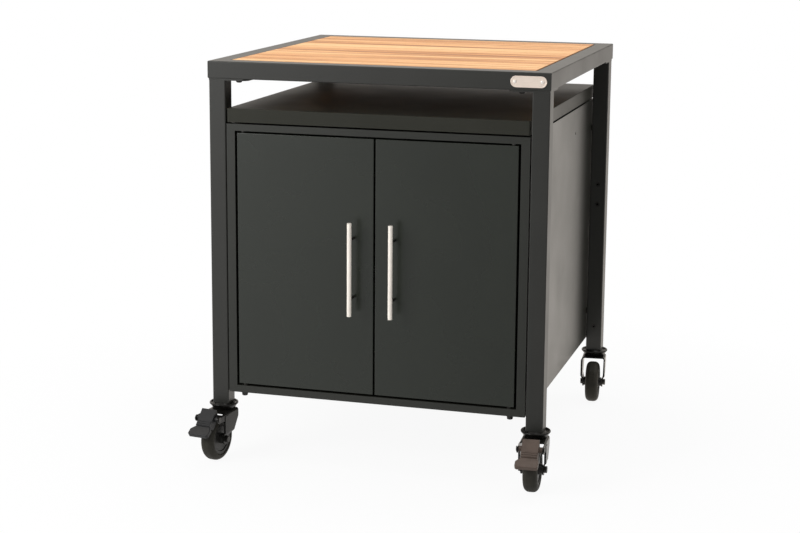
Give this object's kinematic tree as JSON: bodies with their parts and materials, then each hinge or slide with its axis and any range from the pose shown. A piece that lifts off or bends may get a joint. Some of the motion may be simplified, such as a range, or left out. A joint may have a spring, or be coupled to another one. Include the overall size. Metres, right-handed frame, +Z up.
{
  "type": "grill cart with storage",
  "caption": "Outdoor grill cart on swivel casters: square tube frame with a slatted wood worktop, open tray space below it and a sheet metal cabinet with hinged doors.",
  "frame": {"origin": "on the floor, under the middle of the square frame", "axes": "+X to the right of someone who faces the doors, +Y from the doors to the back, +Z up"},
  "size_m": [0.7965, 0.8665, 0.896],
  "materials": {
    "frame_coat": "fine-textured charcoal powder coat, semi-matt",
    "cabinet_coat": "fine-textured charcoal powder coat, semi-matt",
    "acacia": "oiled, with fine dark grain",
    "stainless": "brushed",
    "zinc": "zinc plated, satin",
    "black_fasteners": "black oxide, satin",
    "caster_steel": "black coat, semi-gloss",
    "wheel_plastic": "moulded, fine grain",
    "tyre_rubber": "matt rubber, worn on the tread",
    "black_plastic": "moulded, fine grain",
    "soft_rubber": "matt"
  },
  "bodies": {
    "cart": {"top_rail_front": "frame_coat", "top_rail_rear": "frame_coat", "top_rail_left": "frame_coat", "top_rail_right": "frame_coat", "leg_front_left": "frame_coat", "leg_front_right": "frame_coat", "leg_rear_left": "frame_coat", "leg_rear_right": "frame_coat", "insert_ledges": "frame_coat", "corner_plates": "frame_coat", "worktop_slats": "acacia", "worktop_battens": "acacia", "badge_plate": "stainless", "badge_rivets": "stainless", "corner_bolts": "black_fasteners", "leg_inserts": "zinc", "leg_plugs": "zinc", "caster_stems": "caster_steel", "swivel_races": "zinc", "face_frame": "cabinet_coat", "cabinet_side_left": "cabinet_coat", "cabinet_side_right": "cabinet_coat", "cabinet_back": "cabinet_coat", "cabinet_base": "cabinet_coat", "cabinet_top": "cabinet_coat", "lid": "cabinet_coat", "shelf": "cabinet_coat", "shelf_brackets": "cabinet_coat", "cabinet_bolts": "zinc", "cabinet_feet": "soft_rubber", "lid_pads": "soft_rubber", "magnet_catches": "black_plastic", "door_pins": "black_fasteners"},
    "door_left": {"door_left": "cabinet_coat", "door_left_liner": "cabinet_coat", "handle_left_bar": "stainless", "handle_left_posts": "stainless"},
    "door_right": {"door_right": "cabinet_coat", "door_right_liner": "cabinet_coat", "handle_right_bar": "stainless", "handle_right_posts": "stainless"},
    "caster_front_left": {"caster_front_left_fork": "caster_steel", "caster_front_left_axle": "zinc"},
    "wheel_front_left": {"wheel_front_left_core": "wheel_plastic", "wheel_front_left_tyre": "tyre_rubber"},
    "pedal_front_left": {"caster_front_left_pedal": "black_plastic"},
    "caster_front_right": {"caster_front_right_fork": "caster_steel", "caster_front_right_axle": "zinc"},
    "wheel_front_right": {"wheel_front_right_core": "wheel_plastic", "wheel_front_right_tyre": "tyre_rubber"},
    "pedal_front_right": {"caster_front_right_pedal": "black_plastic"},
    "caster_rear_left": {"caster_rear_left_fork": "caster_steel", "caster_rear_left_axle": "zinc"},
    "wheel_rear_left": {"wheel_rear_left_core": "wheel_plastic", "wheel_rear_left_tyre": "tyre_rubber"},
    "caster_rear_right": {"caster_rear_right_fork": "caster_steel", "caster_rear_right_axle": "zinc"},
    "wheel_rear_right": {"wheel_rear_right_core": "wheel_plastic", "wheel_rear_right_tyre": "tyre_rubber"}
  },
  "joints": [
    {"name": "door_left_hinge", "type": "hinge", "parent": "cart", "child": "door_left", "pos_m": [-0.302, -0.368, 0.4589], "axis": [0, 0, -1], "range_deg": [0, 110]},
    {"name": "door_right_hinge", "type": "hinge", "parent": "cart", "child": "door_right", "pos_m": [0.302, -0.368, 0.4589], "axis": [0, 0, 1], "range_deg": [0, 110]},
    {"name": "swivel_front_left", "type": "hinge", "parent": "cart", "child": "caster_front_left", "pos_m": [-0.359, -0.359, 0.1115], "axis": [0, 0, 1], "continuous": true},
    {"name": "roll_front_left", "type": "hinge", "parent": "caster_front_left", "child": "wheel_front_left", "pos_m": [-0.36387, -0.39366, 0.05], "axis": [0.9903, -0.1392, 0], "continuous": true},
    {"name": "brake_front_left", "type": "hinge", "parent": "caster_front_left", "child": "pedal_front_left", "pos_m": [-0.36888, -0.42931, 0.104], "axis": [0.9903, -0.1392, 0], "range_deg": [0, 12]},
    {"name": "swivel_front_right", "type": "hinge", "parent": "cart", "child": "caster_front_right", "pos_m": [0.359, -0.359, 0.1115], "axis": [0, 0, 1], "continuous": true},
    {"name": "roll_front_right", "type": "hinge", "parent": "caster_front_right", "child": "wheel_front_right", "pos_m": [0.36114, -0.39393, 0.05], "axis": [0.9981, 0.061, 0], "continuous": true},
    {"name": "brake_front_right", "type": "hinge", "parent": "caster_front_right", "child": "pedal_front_right", "pos_m": [0.36333, -0.42987, 0.104], "axis": [0.9981, 0.061, 0], "range_deg": [0, 12]},
    {"name": "swivel_rear_left", "type": "hinge", "parent": "cart", "child": "caster_rear_left", "pos_m": [-0.359, 0.359, 0.1115], "axis": [0, 0, 1], "continuous": true},
    {"name": "roll_rear_left", "type": "hinge", "parent": "caster_rear_left", "child": "wheel_rear_left", "pos_m": [-0.35352, 0.32443, 0.05], "axis": [0.9877, 0.1564, 0], "continuous": true},
    {"name": "swivel_rear_right", "type": "hinge", "parent": "cart", "child": "caster_rear_right", "pos_m": [0.359, 0.359, 0.1115], "axis": [0, 0, 1], "continuous": true},
    {"name": "roll_rear_right", "type": "hinge", "parent": "caster_rear_right", "child": "wheel_rear_right", "pos_m": [0.36235, 0.32416, 0.05], "axis": [0.9954, 0.0958, 0], "continuous": true}
  ]
}
